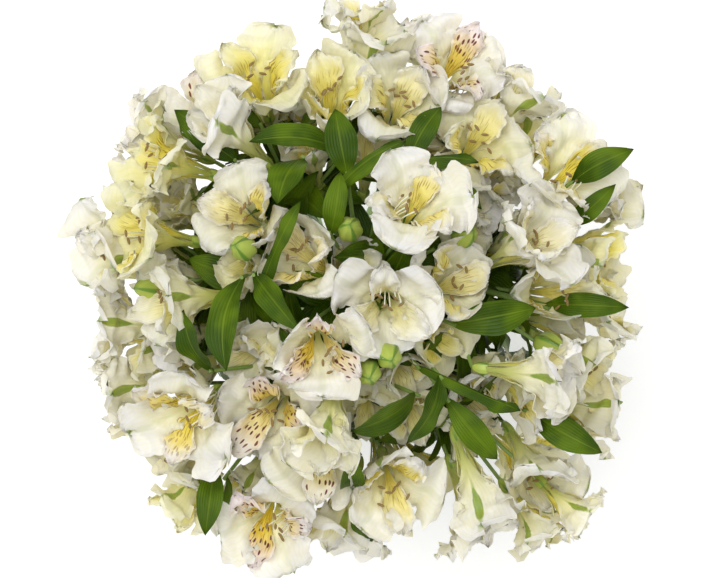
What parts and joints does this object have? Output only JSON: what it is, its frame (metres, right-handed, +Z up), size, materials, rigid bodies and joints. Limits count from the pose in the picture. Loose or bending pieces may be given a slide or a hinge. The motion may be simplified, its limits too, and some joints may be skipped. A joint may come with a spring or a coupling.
{
  "type": "alstroemeria bunch",
  "caption": "Round hand-tied bunch of open white lily-like flowers with golden throats, buds and leaves, its bare spiralled stems bound with twine and cut level to stand on.",
  "frame": {"origin": "centre of the middle stem's level cut end, on the surface that the bunch stands on", "axes": "+Z up along the middle stem towards the flowers, +Y towards the top of the bunch as seen from above with the front at the bottom, +X to its right"},
  "size_m": [0.3191, 0.3139, 0.382],
  "materials": {
    "petal_white": "soft matte petal, creamy white with a golden throat",
    "stem_green": "waxy green stem and leaf with a soft sheen",
    "twine_tan": "rough natural twine"
  },
  "bodies": {
    "root": {"bloom_01": "petal_white", "bloom_02": "petal_white", "bloom_03": "petal_white", "bloom_04": "petal_white", "bloom_05": "petal_white", "bloom_06": "petal_white", "bloom_07": "petal_white", "bloom_08": "petal_white", "bloom_09": "petal_white", "bloom_10": "petal_white", "bloom_11": "petal_white", "bloom_12": "petal_white", "bloom_13": "petal_white", "bloom_14": "petal_white", "bloom_15": "petal_white", "bloom_16": "petal_white", "bloom_17": "petal_white", "bloom_18": "petal_white", "bloom_19": "petal_white", "bloom_20": "petal_white", "bloom_21": "petal_white", "bloom_22": "petal_white", "bloom_23": "petal_white", "bloom_24": "petal_white", "bloom_25": "petal_white", "bloom_26": "petal_white", "bloom_27": "petal_white", "bloom_28": "petal_white", "bloom_29": "petal_white", "bloom_30": "petal_white", "bloom_31": "petal_white", "bloom_32": "petal_white", "bloom_33": "petal_white", "bloom_34": "petal_white", "bloom_35": "petal_white", "bloom_36": "petal_white", "bloom_37": "petal_white", "bloom_38": "petal_white", "bloom_39": "petal_white", "bloom_40": "petal_white", "bloom_41": "petal_white", "bloom_42": "petal_white", "bloom_43": "petal_white", "bloom_44": "petal_white", "bloom_45": "petal_white", "bloom_46": "petal_white", "bloom_47": "petal_white", "bloom_48": "petal_white", "bloom_49": "petal_white", "stem_01": "stem_green", "stem_02": "stem_green", "stem_03": "stem_green", "stem_04": "stem_green", "stem_05": "stem_green", "stem_06": "stem_green", "stem_07": "stem_green", "stem_08": "stem_green", "stem_09": "stem_green", "stem_10": "stem_green", "twine_tie": "twine_tan"}
  },
  "joints": []
}
